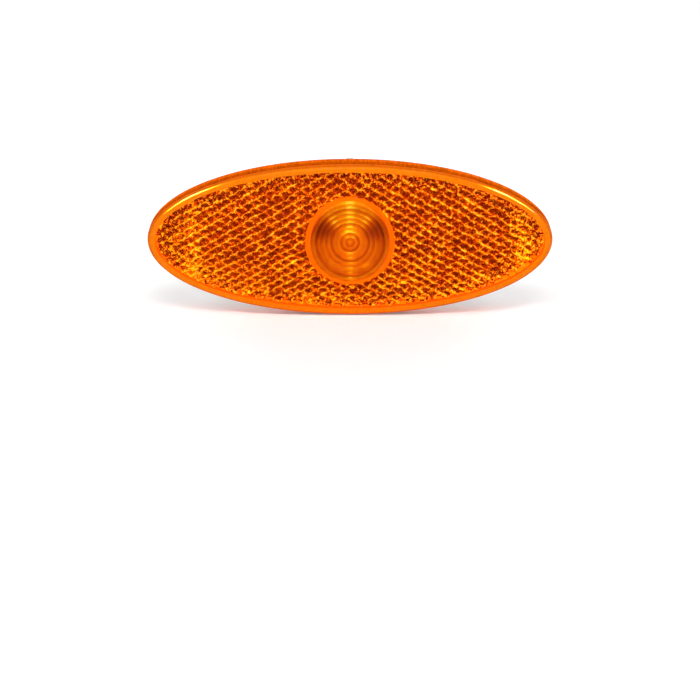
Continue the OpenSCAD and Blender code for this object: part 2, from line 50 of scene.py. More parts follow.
def mergedMesh(obj, distance=1e-5):
    bm = bmesh.new()
    bm.from_mesh(obj.data)
    bmesh.ops.remove_doubles(bm, verts=bm.verts, dist=distance)
    bmesh.ops.recalc_face_normals(bm, faces=bm.faces)
    bm.to_mesh(obj.data)
    bm.free()


def solid(name, points, faces):
    mesh = bpy.data.meshes.new(name)
    mesh.from_pydata(points, [], faces)
    obj = newObject(name, mesh)
    mergedMesh(obj)
    return obj


def loft(name, rings):
    count = len(rings[0])
    faces = []
    for r in range(len(rings) - 1):
        for i in range(count):
            j = (i + 1) % count
            faces.append((r * count + i, r * count + j, (r + 1) * count + j, (r + 1) * count + i))
    faces.append(list(range(count))[::-1])
    faces.append([(len(rings) - 1) * count + i for i in range(count)])
    return solid(name, [p for ring in rings for p in ring], faces)


def oval(a, b, level, sides=216):
    turns = [2 * math.pi * i / sides for i in range(sides)]
    return [(a * math.cos(t), b * math.sin(t), level) for t in turns]


def slab(name, outline, base, top):
    return loft(name, [[(x, y, base) for x, y in outline], [(x, y, top) for x, y in outline]])


def upright(name, outline, y, thickness):
    return loft(name, [[(x, y + s * thickness / 2, h) for x, h in outline] for s in (1, -1)])


def block(name, low, high):
    (x0, y0, z0), (x1, y1, z1) = low, high
    return slab(name, [(x0, y0), (x1, y0), (x1, y1), (x0, y1)], z0, z1)


def turned(name, profile, sides=128):
    rings = [oval(r, r, h, sides) for r, h in profile]
    return loft(name, rings)


def sector(name, inner, outer, base, top, direction, angle, steps=12):
    first = math.radians(direction - angle / 2)
    turns = [first + math.radians(angle) * i / steps for i in range(steps + 1)]
    outline = [(outer * math.cos(t), outer * math.sin(t)) for t in turns]
    outline += [(inner * math.cos(t), inner * math.sin(t)) for t in reversed(turns)]
    return slab(name, outline, base, top)


def evaluated(obj):
    mesh = bpy.data.meshes.new_from_object(obj.evaluated_get(bpy.context.evaluated_depsgraph_get()))
    obj.modifiers.clear()
    obj.data = mesh
    return obj


def softened(obj, width, segments=2, angle=35):
    bevel = obj.modifiers.new("edges", "BEVEL")
    bevel.width = width
    bevel.segments = segments
    bevel.limit_method = "ANGLE"
    bevel.angle_limit = math.radians(angle)
    return evaluated(obj)


def combined(obj, tools, operation):
    for tool in tools:
        step = obj.modifiers.new("step", "BOOLEAN")
        step.operation = operation
        step.solver = "MANIFOLD"
        step.object = tool
        evaluated(obj)
        bpy.data.objects.remove(tool)
    return obj


def mirrored(obj):
    obj.data.transform(Matrix.Diagonal((-1, 1, 1, 1)))
    mergedMesh(obj)
    return obj


def dress(obj, name, body, material, node):
    obj.name = obj.data.name = name
    obj.data.materials.clear()
    obj.data.materials.append(material)
    obj.data.shade_smooth()
    obj.data.set_sharp_from_angle(angle=math.radians(30))
    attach(obj, body)
    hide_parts(node)
    print("made", name, len(obj.data.polygons), "faces")


def feed(tree, socket, value):  # a number, a colour or another node's output
    if isinstance(value, bpy.types.NodeSocket):
        tree.links.new(value, socket)
    else:
        socket.default_value = value


def mathNode(tree, operation, *values):
    node = tree.nodes.new("ShaderNodeMath")
    node.operation = operation
    for socket, value in zip(node.inputs, values):
        feed(tree, socket, value)
    return node.outputs[0]


def noiseNode(tree, vector, scale, detail=2):
    node = tree.nodes.new("ShaderNodeTexNoise")
    feed(tree, node.inputs["Vector"], vector)
    feed(tree, node.inputs["Scale"], scale)
    feed(tree, node.inputs["Detail"], detail)
    return node.outputs


def rangeNode(tree, value, fromMin, fromMax, toMin, toMax):
    node = tree.nodes.new("ShaderNodeMapRange")
    names = ("Value", "From Min", "From Max", "To Min", "To Max")
    for name, number in zip(names, (value, fromMin, fromMax, toMin, toMax)):
        feed(tree, node.inputs[name], number)
    return node.outputs[0]


def mixNode(tree, first, second, share=1, blend="MULTIPLY"):
    node = tree.nodes.new("ShaderNodeMix")
    node.data_type, node.blend_type = "RGBA", blend
    for name, value in (("Factor", share), ("A", first), ("B", second)):
        feed(tree, node.inputs[name], value)
    return node.outputs["Result"]


def rampNode(tree, value, stops):
    node = tree.nodes.new("ShaderNodeValToRGB")
    elements = node.color_ramp.elements
    while len(elements) < len(stops):
        elements.new(0.5)
    for element, (place, color) in zip(elements, stops):
        element.position, element.color = place, color
    feed(tree, node.inputs["Fac"], value)
    return node.outputs["Color"]


def objectPlace(tree):
    return tree.nodes.new("ShaderNodeTexCoord").outputs["Object"]


def groupSockets(tree, inputs, outputs):
    for name, kind, value in inputs:
        socket = tree.interface.new_socket(name, in_out="INPUT", socket_type=kind)
        if value is not None:
            socket.default_value = value
    for name, kind in outputs:
        tree.interface.new_socket(name, in_out="OUTPUT", socket_type=kind)


surfaceOutputs = [
    ("Color", "NodeSocketColor"), ("Roughness", "NodeSocketFloat"), ("Height", "NodeSocketFloat"),
]


# Shared effect: fine grain and slow variation of a moulded surface
def makeMouldedSurface():
    tree = bpy.data.node_groups.new("mouldedSurface", "ShaderNodeTree")
    groupSockets(tree, [
        ("Color", "NodeSocketColor", (0.5, 0.5, 0.5, 1)),
        ("Shade", "NodeSocketFloat", 0.06),
        ("Roughness", "NodeSocketFloat", 0.4),
        ("Roughness Spread", "NodeSocketFloat", 0.08),
        ("Grain Scale", "NodeSocketFloat", 6000),
        ("Patch Scale", "NodeSocketFloat", 90),
    ], surfaceOutputs)
    given = tree.nodes.new("NodeGroupInput").outputs
    result = tree.nodes.new("NodeGroupOutput").inputs
    grain = noiseNode(tree, objectPlace(tree), given["Grain Scale"], 3)["Fac"]
    patch = noiseNode(tree, objectPlace(tree), given["Patch Scale"], 4)["Fac"]
    shaded = mathNode(tree, "MULTIPLY_ADD", patch, mathNode(tree, "MULTIPLY", given["Shade"], -1), 1)
    feed(tree, result["Color"], mixNode(tree, given["Color"], shaded))
    rough = mathNode(tree, "MULTIPLY_ADD", patch, given["Roughness Spread"], given["Roughness"])
    feed(tree, result["Roughness"], rough)
    feed(tree, result["Height"], grain)
    return tree


# Shared effect: brush lines and dull clouds of bare metal; on the steel clip the dark clouds are also painted
# dark reflections
def makeBrushedMetal():
    tree = bpy.data.node_groups.new("brushedMetal", "ShaderNodeTree")
    groupSockets(tree, [
        ("Bright", "NodeSocketColor", (0.8, 0.8, 0.8, 1)),
        ("Dull And Painted Reflection", "NodeSocketColor", (0.5, 0.5, 0.5, 1)),
        ("Roughness", "NodeSocketFloat", 0.2),
        ("Roughness Spread", "NodeSocketFloat", 0.15),
        ("Stretch", "NodeSocketVector", (1, 1, 1)),
        ("Scale", "NodeSocketFloat", 1000),
        ("Contrast", "NodeSocketFloat", 1),
    ], surfaceOutputs)
    given = tree.nodes.new("NodeGroupInput").outputs
    result = tree.nodes.new("NodeGroupOutput").inputs
    drawn = tree.nodes.new("ShaderNodeVectorMath")
    drawn.operation = "MULTIPLY"
    feed(tree, drawn.inputs[0], objectPlace(tree))
    feed(tree, drawn.inputs[1], given["Stretch"])
    brush = noiseNode(tree, drawn.outputs[0], given["Scale"])["Fac"]
    cloud = noiseNode(tree, objectPlace(tree), 260)["Fac"]
    wearAndReflection = mathNode(tree, "MULTIPLY_ADD", brush, 0.5, mathNode(tree, "MULTIPLY", cloud, 0.5))
    wearAndReflection = mathNode(tree, "MULTIPLY_ADD", mathNode(tree, "SUBTRACT", wearAndReflection, 0.5), given["Contrast"], 0.5)
    feed(tree, result["Color"], mixNode(tree, given["Bright"], given["Dull And Painted Reflection"], wearAndReflection, "MIX"))
    rough = mathNode(tree, "MULTIPLY_ADD", wearAndReflection, given["Roughness Spread"], given["Roughness"])
    feed(tree, result["Roughness"], rough)
    feed(tree, result["Height"], brush)
    return tree


mouldedSurface = makeMouldedSurface()
brushedMetal = makeBrushedMetal()


def newMaterial(name, **values):
    material = bpy.data.materials.new(name)
    material.use_nodes = True
    shader = material.node_tree.nodes["Principled BSDF"]
    for key, value in values.items():
        shader.inputs[key].default_value = value
    return material, shader


def wornMaterial(name, group, look, **values):  # a shared effect with one piece's values
    material, shader = newMaterial(name, **values)
    tree = material.node_tree
    surface = tree.nodes.new("ShaderNodeGroup")
    surface.node_tree = group
    for key, value in look.items():
        if key != "Bump":
            surface.inputs[key].default_value = value
    bump = tree.nodes.new("ShaderNodeBump")
    bump.inputs["Strength"].default_value = look["Bump"]
    bump.inputs["Distance"].default_value = 0.0001
    feed(tree, shader.inputs["Base Color"], surface.outputs["Color"])
    feed(tree, shader.inputs["Roughness"], surface.outputs["Roughness"])
    feed(tree, bump.inputs["Height"], surface.outputs["Height"])
    feed(tree, shader.inputs["Normal"], bump.outputs["Normal"])
    return material


def smeared(material, shader, scale, low, high):  # faint smears that change how sharp a clear surface is
    tree = material.node_tree
    smear = noiseNode(tree, objectPlace(tree), scale)["Fac"]
    feed(tree, shader.inputs["Roughness"], rangeNode(tree, smear, 0, 1, low, high))


# Lens: one amber moulding
lens = {
    "length": 100, "height": 38.4, "rimDepth": 6.9, "edgeRound": 1.8, "draft": 0.1, "faceRise": 4.2,
    "faceWall": 2.2, "skirtWall": 2.3, "mouthBevel": 0.7, "weldLedge": 0.7, "prismPitch": 2.1,
    "eyeRadius": 10.95, "rings": 8, "collar": 1.2, "ringDepth": 0.9, "eyeBulge": 1.0,
    "flutes": 210, "fluteDepth": 0.14,
}
plate = {"recess": 0.9, "thickness": 1.8, "gap": 0.06}
halfLength, halfHeight = lens["length"] / 2, lens["height"] / 2
faceFoot = -lens["rimDepth"]
faceInset = lens["edgeRound"] + lens["draft"]
plateTop = -plate["recess"]
plateBase = plateTop - plate["thickness"]
fieldBase = faceFoot - lens["faceRise"] - 2
prismStep = lens["prismPitch"] / math.sqrt(3)
prismDrop = lens["prismPitch"] / math.sqrt(6)


def faceLevel(share):
    return faceFoot - lens["faceRise"] * (1 - share * share)


def lensBody():
    rings = []
    edge = 0.25
    for i in range(5):  # small rounding of the rim's back edge
        turn = math.radians(90 * i / 4)
        rings.append(ovalRing(edge * (1 - math.sin(turn)), -edge * (1 - math.cos(turn))))
    for i in range(13):
        turn = math.radians(64 * i / 12)
        inset = lens["draft"] + lens["edgeRound"] * (1 - math.cos(turn))
        rings.append(ovalRing(inset, faceFoot + lens["edgeRound"] * (1 - math.sin(turn))))
    steps = 26
    for i in range(1, steps + 1):
        share = math.cos(math.radians(89.4 * i / steps))
        a, b = (halfLength - faceInset) * share, (halfHeight - faceInset) * share
        rings.append(oval(a, b, faceLevel(share)))
    return loft("lensBody", rings)


def ovalRing(inset, level):
    return oval(halfLength - inset, halfHeight - inset, level)


def flutedOval(inset, level):
    count = lens["flutes"] * 6
    points = []
    for i in range(count):
        t = 2 * math.pi * i / count
        ripple = lens["fluteDepth"] * abs(math.sin(math.pi * i / 6))
        a, b = halfLength - inset, halfHeight - inset
        nx, ny = math.cos(t) / a, math.sin(t) / b
        size = math.hypot(nx, ny)
        points.append((a * math.cos(t) + ripple * nx / size, b * math.sin(t) + ripple * ny / size, level))
    return points


def prismFieldTree():
    tree = bpy.data.node_groups.new("prismField", "GeometryNodeTree")
    names = ["Step", "Pitch", "Drop", "Half Length", "Half Height", "Foot", "Rise", "Wall", "Base"]
    groupSockets(tree, [(name, "NodeSocketFloat", 1.0) for name in names] + [
        ("Columns", "NodeSocketInt", 105), ("Rows", "NodeSocketInt", 41),
        ("Material", "NodeSocketMaterial", None),
    ], [("Geometry", "NodeSocketGeometry")])
    n, link = tree.nodes, tree.links.new
    given = n.new("NodeGroupInput").outputs
    result = n.new("NodeGroupOutput")
    box = n.new("GeometryNodeMeshCube")
    link(given["Columns"], box.inputs["Vertices X"])
    link(given["Rows"], box.inputs["Vertices Y"])
    box.inputs["Vertices Z"].default_value = 2
    size = n.new("ShaderNodeCombineXYZ")
    link(mathNode(tree, "SUBTRACT", given["Columns"], 1), size.inputs["X"])
    link(mathNode(tree, "SUBTRACT", given["Rows"], 1), size.inputs["Y"])
    size.inputs["Z"].default_value = 2
    link(size.outputs[0], box.inputs["Size"])
    here = n.new("GeometryNodeInputPosition")
    part = n.new("ShaderNodeSeparateXYZ")
    link(here.outputs[0], part.inputs[0])
    column = mathNode(tree, "ROUND", part.outputs["X"])
    row = mathNode(tree, "ROUND", part.outputs["Y"])
    x = mathNode(tree, "MULTIPLY", mathNode(tree, "MULTIPLY_ADD", row, 0.5, column), given["Step"])
    y = mathNode(tree, "MULTIPLY", row, mathNode(tree, "MULTIPLY", given["Pitch"], 0.5))
    third = mathNode(tree, "FLOORED_MODULO", mathNode(tree, "SUBTRACT", column, row), 3)
    xShare = mathNode(tree, "DIVIDE", x, given["Half Length"])
    yShare = mathNode(tree, "DIVIDE", y, given["Half Height"])
    square = mathNode(tree, "MULTIPLY_ADD", xShare, xShare, mathNode(tree, "MULTIPLY", yShare, yShare))
    dome = mathNode(tree, "SUBTRACT", 1, mathNode(tree, "MINIMUM", square, 1))
    flat = mathNode(tree, "ADD", given["Foot"], given["Wall"])
    face = mathNode(tree, "SUBTRACT", flat, mathNode(tree, "MULTIPLY", given["Rise"], dome))
    peak = mathNode(tree, "SUBTRACT", 2, third)
    level = mathNode(tree, "MULTIPLY_ADD", peak, given["Drop"], face)
    isTop = mathNode(tree, "GREATER_THAN", part.outputs["Z"], 0)
    height = n.new("ShaderNodeMix")
    height.data_type = "FLOAT"
    link(isTop, height.inputs["Factor"])
    link(given["Base"], height.inputs["A"])
    link(level, height.inputs["B"])
    spot = n.new("ShaderNodeCombineXYZ")
    link(x, spot.inputs["X"])
    link(y, spot.inputs["Y"])
    link(height.outputs["Result"], spot.inputs["Z"])
    move = n.new("GeometryNodeSetPosition")
    link(box.outputs["Mesh"], move.inputs["Geometry"])
    link(spot.outputs[0], move.inputs["Position"])
    split = n.new("GeometryNodeTriangulate")
    split.quad_method = "SHORTEST_DIAGONAL"
    link(move.outputs[0], split.inputs["Mesh"])
    real = n.new("GeometryNodeRealizeInstances")
    link(split.outputs[0], real.inputs[0])
    paint = n.new("GeometryNodeSetMaterial")
    link(real.outputs[0], paint.inputs["Geometry"])
    link(given["Material"], paint.inputs["Material"])
    link(paint.outputs[0], result.inputs["Geometry"])
    return tree


def grown(name, tree, values):
    obj = newObject(name, bpy.data.meshes.new(name))
    nodes = obj.modifiers.new("grow", "NODES")
    nodes.node_group = tree
    for item in tree.interface.items_tree:
        if item.in_out == "INPUT" and item.name in values:
            nodes[item.identifier] = values[item.name]
    return evaluated(obj)


def ringLens(sides=96):
    eye, collar = lens["eyeRadius"], lens["collar"]
    top = faceLevel(0) + lens["faceWall"] + lens["eyeBulge"]
    step = (eye - collar) / lens["rings"]

    def level(radius):
        return top - lens["eyeBulge"] * (radius / eye) ** 2

    collarTop = faceLevel(eye / (halfHeight - faceInset)) + lens["faceWall"] + 2 * prismDrop + 0.1
    profile = [(0.02, fieldBase), (eye, fieldBase), (eye, collarTop), (eye - collar, collarTop)]
    for i in range(lens["rings"] - 1, -1, -1):
        outer = max((i + 1) * step, 0.02)
        profile.append((outer, level(outer)))
        if i:
            profile.append((i * step + 0.001, level(i * step) + lens["ringDepth"] * i / lens["rings"]))
    profile.append((0.02, level(0)))
    return turned("ringLens", profile, sides)


# The lens has a clear front face, and its inner faces, rim and side carry amber materials of their own, with
# painted light and shade
amberPaint = {
    "look": {"Base Color": (1.0, 0.9, 0.6, 1), "IOR": 1.1, "Transmission Weight": 1.0, "Coat Weight": 0.03},
    "smears": (120, 0.0, 0.07),  # scale, least and most roughness
    "absorbed": (3, 60, 700),  # each colour's share taken up, per metre
    "inside": (0.75, 0.17, 0.002, 1),  # painted glow: rim and side shine this colour from their backs, as seen through the clear face
}
prismPaint = {
    "look": {"Roughness": 0.12, "IOR": 1.49, "Transmission Weight": 0.05, "Specular IOR Level": 0.12},
    "tones": [  # painted light and shade: dark middle of a prism, its sides, the bright net between prisms, sparkle
        (0.0, (0.09, 0.006, 0.0, 1)), (0.22, (0.15, 0.011, 0.0, 1)), (0.5, (0.37, 0.045, 0.001, 1)),
        (0.78, (0.66, 0.18, 0.003, 1)), (0.95, (0.92, 0.55, 0.06, 1)), (1.0, (1.0, 0.74, 0.2, 1)),
    ],
    "paintedGlow": 0.12,  # painted glow: emission that stands in for daylight the clear moulding leads round to its prisms
    "facetLighting": {60: 0.44, 180: 0.6, 300: 0.54},  # painted light and shade for the way each facet faces
    # painted light: prisms brighter towards the top, and painted highlight bands at the streaks' places
    # across the lens
    "rise": 0.11, "streaks": (-38.3, 42.7), "highlightBandTone": 0.3, "highlightBandWidth": 1.8,
    "netTone": 0.88, "netBase": -0.46, "netPower": 3, "netLean": 0.88, "leanReach": 0.012,
    "speckleScale": 1300, "speckleWaver": 0.0006, "driftScale": 330, "driftWaver": 0.0016, "driftTone": 0.9,
    "wildness": 1.4, "edgeWildness": 3.0, "calming": 1.1,
    "paintedSparkleScale": 3600, "paintedSparkleRange": (0.58, 0.7), "paintedSparkleTone": 0.5, "edgePaintedSparkle": 1.3,
    "quiet": (0.68, 0.82, 0.9, 1),  # the ring lens is darker than its hue
}
# Rim and side: colour bands by depth paint light and shade, and both glow a little with painted light
rimPaint = {
    "look": {"Roughness": 0.14, "Metallic": 0.07, "Coat Weight": 0.08, "Specular IOR Level": 0.0},
    "depth": (0, -0.0068), "wander": 0.05, "wanderScale": 90, "paintedGlow": 0.1,
    "stretch": (1, 1, 1), "streakScale": 1100, "streakShare": (0.93, 1.05),
    "bands": [  # painted light and shade, from the rim's back face to the clear face
        (0.0, (0.3, 0.022, 0.0, 1)), (0.03, (0.4, 0.035, 0.0, 1)), (0.07, (1.0, 0.33, 0.004, 1)),
        (0.8, (0.66, 0.085, 0.0, 1)), (0.86, (0.82, 0.15, 0.001, 1)), (0.91, (0.66, 0.09, 0.0, 1)),
        (0.97, (0.84, 0.19, 0.001, 1)),
    ],
}
sidePaint = {
    "look": {"Roughness": 0.25, "IOR": 1.02, "Specular IOR Level": 0.0},
    "depth": (-0.0052, 0), "wander": 0.16, "wanderScale": 1500, "paintedGlow": 0.04,
    "stretch": (1, 0.12, 1), "streakScale": 2200, "streakShare": (0.75, 1.2),
    "bands": [  # painted light and shade, from the face to the rim's back face
        (0.0, (0.52, 0.055, 0.0, 1)), (0.1, (0.68, 0.09, 0.0, 1)), (0.32, (0.64, 0.08, 0.0, 1)),
        (0.36, (0.42, 0.04, 0.0, 1)), (0.4, (0.86, 0.13, 0.001, 1)), (0.88, (0.9, 0.14, 0.001, 1)),
        (0.95, (0.36, 0.03, 0.0, 1)),
    ],
}
# The ring lens's tones paint light and shade: a brighter top, painted shade at the upper left and right, a
# painted reflection of the bulb near the middle, painted glints, and painted shade and light at the rings'
# edges
eyePaint = {
    "tone": 0.68, "riserLight": 0.06, "riserShade": 0.25, "riserSpread": 0.12, "riserTurn": 2.4,
    "topLightGain": 0.14, "topAngle": 38, "topFrom": 4,
    "midlineGlints": 0.3, "midlineGlintWidth": 0.8, "midlineGlintFrom": 2.6,
    # patches: tone, degrees from the top, their spread, radius, its spread
    "shade": (0.3, 64, 19, 7, 2.4), "bulbReflection": (0.22, 28, 26, 2.2, 0.9), "glint": (0.3, 37, 8, 7, 1.8),
}


def clearAmber():
    material, shader = newMaterial("amberPlastic", **amberPaint["look"])
    smeared(material, shader, *amberPaint["smears"])
    tree = material.node_tree
    absorption = tree.nodes.new("ShaderNodeVolumeAbsorption")
    density = max(amberPaint["absorbed"])
    absorption.inputs["Density"].default_value = density
    absorption.inputs["Color"].default_value = [1 - share / density for share in amberPaint["absorbed"]] + [1]
    feed(tree, tree.nodes["Material Output"].inputs["Volume"], absorption.outputs[0])
    return material


def prismNet(tree, wavered):  # painted light along the lines between the prisms, and painted shade in the dark middle of each lozenge
    spot = tree.nodes.new("ShaderNodeSeparateXYZ")
    feed(tree, spot.inputs[0], wavered)
    # Left of the eye the brighter lines rise to the right, and right of it they fall
    reach = prismPaint["leanReach"]
    lean = rangeNode(tree, spot.outputs["X"], -reach, reach, prismPaint["netLean"], 1)
    across = mathNode(tree, "MULTIPLY", spot.outputs["X"], 1000 / (3 * prismStep))
    along = mathNode(tree, "MULTIPLY", spot.outputs["Z"], 1000 / lens["prismPitch"])
    rising = mathNode(tree, "PINGPONG", mathNode(tree, "SUBTRACT", across, along), 0.5)
    falling = mathNode(tree, "PINGPONG", mathNode(tree, "ADD", across, along), 0.5)
    rising = mathNode(tree, "MULTIPLY", rising, mathNode(tree, "SUBTRACT", 1 + prismPaint["netLean"], lean))
    return mathNode(tree, "MAXIMUM", rising, mathNode(tree, "MULTIPLY", falling, lean))


def prismAmber():
    material, shader = newMaterial("amberPrisms", **prismPaint["look"])
    tree = material.node_tree
    # The attribute holds the painted light tone, share of the painted net, calm, and in alpha how wild the
    # painted sparkle is
    facet = tree.nodes.new("ShaderNodeAttribute")
    facet.attribute_name = "facet"
    parts = tree.nodes.new("ShaderNodeSeparateColor")
    feed(tree, parts.inputs[0], facet.outputs["Color"])
    facetTone, netShare, calm = parts.outputs
    wild = facet.outputs["Alpha"]
    place = objectPlace(tree)
    speckle = noiseNode(tree, place, prismPaint["speckleScale"])
    drift = noiseNode(tree, place, prismPaint["driftScale"])
    wavered = place
    for noise, reach in ((speckle, prismPaint["speckleWaver"]), (drift, prismPaint["driftWaver"])):
        waver = tree.nodes.new("ShaderNodeVectorMath")
        waver.operation = "MULTIPLY_ADD"
        for socket, value in zip(waver.inputs, (noise["Color"], (reach, reach, reach), wavered)):
            feed(tree, socket, value)
        wavered = waver.outputs[0]
    net = mathNode(tree, "MULTIPLY", prismNet(tree, wavered), 2)
    net = mathNode(tree, "POWER", net, prismPaint["netPower"])
    net = mathNode(tree, "MULTIPLY_ADD", net, prismPaint["netTone"], prismPaint["netBase"])
    drifting = mathNode(tree, "SUBTRACT", drift["Fac"], 0.5)
    net = mathNode(tree, "MULTIPLY_ADD", drifting, prismPaint["driftTone"], net)
    tone = mathNode(tree, "MULTIPLY_ADD", net, netShare, facetTone)
    # Painted sparkle: small glints, stronger on the net and near the field's border
    paintedSparkle = noiseNode(tree, place, prismPaint["paintedSparkleScale"], 1)["Fac"]
    paintedSparkle = rangeNode(tree, paintedSparkle, *prismPaint["paintedSparkleRange"], 0, prismPaint["paintedSparkleTone"])
    paintedSparkleShare = mathNode(tree, "MULTIPLY_ADD", wild, prismPaint["edgePaintedSparkle"], netShare)
    tone = mathNode(tree, "MULTIPLY_ADD", paintedSparkle, paintedSparkleShare, tone)
    wildness = mathNode(tree, "MULTIPLY_ADD", wild, prismPaint["edgeWildness"], prismPaint["wildness"])
    wildness = mathNode(tree, "MULTIPLY_ADD", calm, -prismPaint["calming"], wildness)
    tone = mathNode(tree, "MULTIPLY_ADD", mathNode(tree, "SUBTRACT", speckle["Fac"], 0.5), wildness, tone)
    color = mixNode(tree, rampNode(tree, tone, prismPaint["tones"]), prismPaint["quiet"], calm)
    feed(tree, shader.inputs["Base Color"], color)
    # The prisms glow with their own colour: a painted glow
    feed(tree, shader.inputs["Emission Color"], color)
    shader.inputs["Emission Strength"].default_value = prismPaint["paintedGlow"]
    return material


def bandedAmber(name, paint):  # painted light and shade in colour bands by depth behind the face, with streaks
    material, shader = newMaterial(name, **paint["look"])
    tree = material.node_tree
    place = objectPlace(tree)
    spot = tree.nodes.new("ShaderNodeSeparateXYZ")
    feed(tree, spot.inputs[0], place)
    cloud = noiseNode(tree, place, paint["wanderScale"])["Fac"]
    depth = rangeNode(tree, spot.outputs["Y"], *paint["depth"], 0, 1)
    depth = mathNode(tree, "MULTIPLY_ADD", mathNode(tree, "SUBTRACT", cloud, 0.5), paint["wander"], depth)
    drawn = tree.nodes.new("ShaderNodeMapping")
    drawn.inputs["Scale"].default_value = paint["stretch"]
    feed(tree, drawn.inputs["Vector"], place)
    streaks = noiseNode(tree, drawn.outputs[0], paint["streakScale"])["Fac"]
    streaks = rangeNode(tree, streaks, 0.36, 0.62, *paint["streakShare"])
    color = mixNode(tree, rampNode(tree, depth, paint["bands"]), streaks)
    # Painted glow: the walls emit a share of their own colour, and from their backs the fixed colour of the
    # clear moulding's inside
    facing = tree.nodes.new("ShaderNodeNewGeometry")
    paintedGlow = mixNode(tree, color, (paint["paintedGlow"], paint["paintedGlow"], paint["paintedGlow"], 1))
    feed(tree, shader.inputs["Base Color"], color)
    shown = mixNode(tree, paintedGlow, amberPaint["inside"], facing.outputs["Backfacing"], "MIX")
    feed(tree, shader.inputs["Emission Color"], shown)
    shader.inputs["Emission Strength"].default_value = 1
    return material


print("making the lens")
amber = clearAmber()
field = grown("prismField", prismFieldTree(), {
    "Step": prismStep, "Pitch": lens["prismPitch"], "Drop": prismDrop, "Half Length": halfLength - faceInset,
    "Half Height": halfHeight - faceInset, "Foot": faceFoot, "Rise": lens["faceRise"],
    "Wall": lens["faceWall"], "Base": fieldBase, "Material": amber,
})
mergedMesh(field)
holeRadius = lens["eyeRadius"] - overlap  # the field reaches under the ring lens's collar
eyeHole = turned("eyeHole", [(holeRadius, fieldBase - overlap), (holeRadius, 0)], 96)
combined(field, [eyeHole], "DIFFERENCE")
chamberInset = faceInset + 0.2
ledgeInset = lens["skirtWall"] + lens["weldLedge"]
chamber = loft("chamber", [flutedOval(inset, h) for inset, h in (
    (chamberInset, fieldBase + 0.2), (chamberInset, plateBase - 0.25),
    (ledgeInset, plateBase - 0.02), (ledgeInset, plateBase + overlap),
)])
combined(chamber, [field, ringLens()], "DIFFERENCE")
mouthInset = lens["skirtWall"] - lens["mouthBevel"]
mouth = loft("mouth", [
    ovalRing(mouthInset - 0.2, 0.2571), ovalRing(lens["skirtWall"], plateTop),
    ovalRing(lens["skirtWall"], plateBase),
])
lensPiece = combined(lensBody(), [mouth, chamber], "DIFFERENCE")
mesh = lensPiece.data
facetColor = mesh.color_attributes.new("facet", "FLOAT_COLOR", "CORNER")


def hump(value, middle, width):
    return math.exp(-((value - middle) / width) ** 2)


def eyePatch(name, fromTop, radius):
    tone, angle, angleSpread, middle, spread = eyePaint[name]
    return tone * hump(fromTop, angle, angleSpread) * hump(radius, middle, spread)


def eyeTone(x, up, radius, atOutside):  # painted light above and below the middle, painted shade at the upper left and right
    fromTop = abs(math.degrees(math.atan2(x, up)))
    ring = int(radius / (lens["eyeRadius"] - lens["collar"]) * lens["rings"])
    shade = eyePatch("shade", fromTop, radius)
    midlineGlints = eyePaint["midlineGlints"] * hump(x, 0, eyePaint["midlineGlintWidth"]) * (radius > eyePaint["midlineGlintFrom"])
    top = eyePaint["topLightGain"] * hump(fromTop, 0, eyePaint["topAngle"]) * min(1, radius / eyePaint["topFrom"])
    tone = eyePaint["tone"] + top - shade + eyePatch("bulbReflection", fromTop, radius)
    if atOutside:
        spread = eyePaint["riserSpread"] * math.sin(eyePaint["riserTurn"] * ring)
        return tone - (eyePaint["riserShade"] + spread + shade / 2)
    return tone + eyePaint["riserLight"] + midlineGlints + eyePatch("glint", fromTop, radius)


# Painted light and shade of a prism facet: by the way it faces, brighter towards the top, and with painted
# highlight bands
def prismTone(x, y, slope):
    turn = math.degrees(math.atan2(slope.y, slope.x)) % 360
    nearest = min(prismPaint["facetLighting"], key=lambda way: abs(way - turn))
    paintedHighlightBand = max(hump(x, at, prismPaint["highlightBandWidth"]) for at in prismPaint["streaks"])
    tone = prismPaint["facetLighting"][nearest] + prismPaint["rise"] * max(0, y / 15)
    return tone + prismPaint["highlightBandTone"] * paintedHighlightBand


clearSlot, prismSlot, rimSlot, sideSlot = 0, 1, 2, 3
finish = []
# Each face gets its material slot; prism and ring-lens faces also get their painted light and shade in the
# facet attribute
for facet in mesh.polygons:
    x, y, h = facet.center
    slope = facet.normal
    radius = math.hypot(x, y)
    reach = math.hypot(x / (halfLength - chamberInset - 0.2), y / (halfHeight - chamberInset - 0.2))
    outerReach = math.hypot(x / (halfLength - faceInset - 0.2), y / (halfHeight - faceInset - 0.2))
    slot = sideSlot if abs(slope.z) < 0.3 else rimSlot
    color = None
    if slope.z < 0 and outerReach < 1 and h < faceFoot + 0.05:
        slot = clearSlot
    elif reach < 1 and h < plateBase - 0.3 and slope.z > 0.2 and radius > lens["eyeRadius"] + 0.05:
        slot = prismSlot
        color = (prismTone(x, y, slope), 1, 0, min(1, max(0, 5 * (reach - 0.8))))
    elif radius < lens["eyeRadius"] + 0.05 and h < plateBase - 0.3 and slope.z > -0.3:
        slot = rimSlot if radius > lens["eyeRadius"] - lens["collar"] else prismSlot
        for corner in facet.loop_indices:
            point = mesh.vertices[mesh.loops[corner].vertex_index].co
            atOutside = math.hypot(point.x, point.y) > radius and slope.z > 0.4
            facetColor.data[corner].color = (eyeTone(point.x, -point.y, radius, atOutside), 0, 1, 0)
    elif x * slope.x + y * slope.y < 0 and h < plateBase - 0.01 and slope.z > -0.5:
        slot = prismSlot  # the chamber's wall, painted bright with wild painted sparkle
        color = (0.85, 1, 0, 1)
    if color:
        for corner in facet.loop_indices:
            facetColor.data[corner].color = color
    finish.append(slot)
mesh.transform(toRow)
dress(lensPiece, "lensAmber", "lamp", amber, "lens")
for material in (prismAmber(), bandedAmber("amberRim", rimPaint), bandedAmber("amberSide", sidePaint)):
    mesh.materials.append(material)
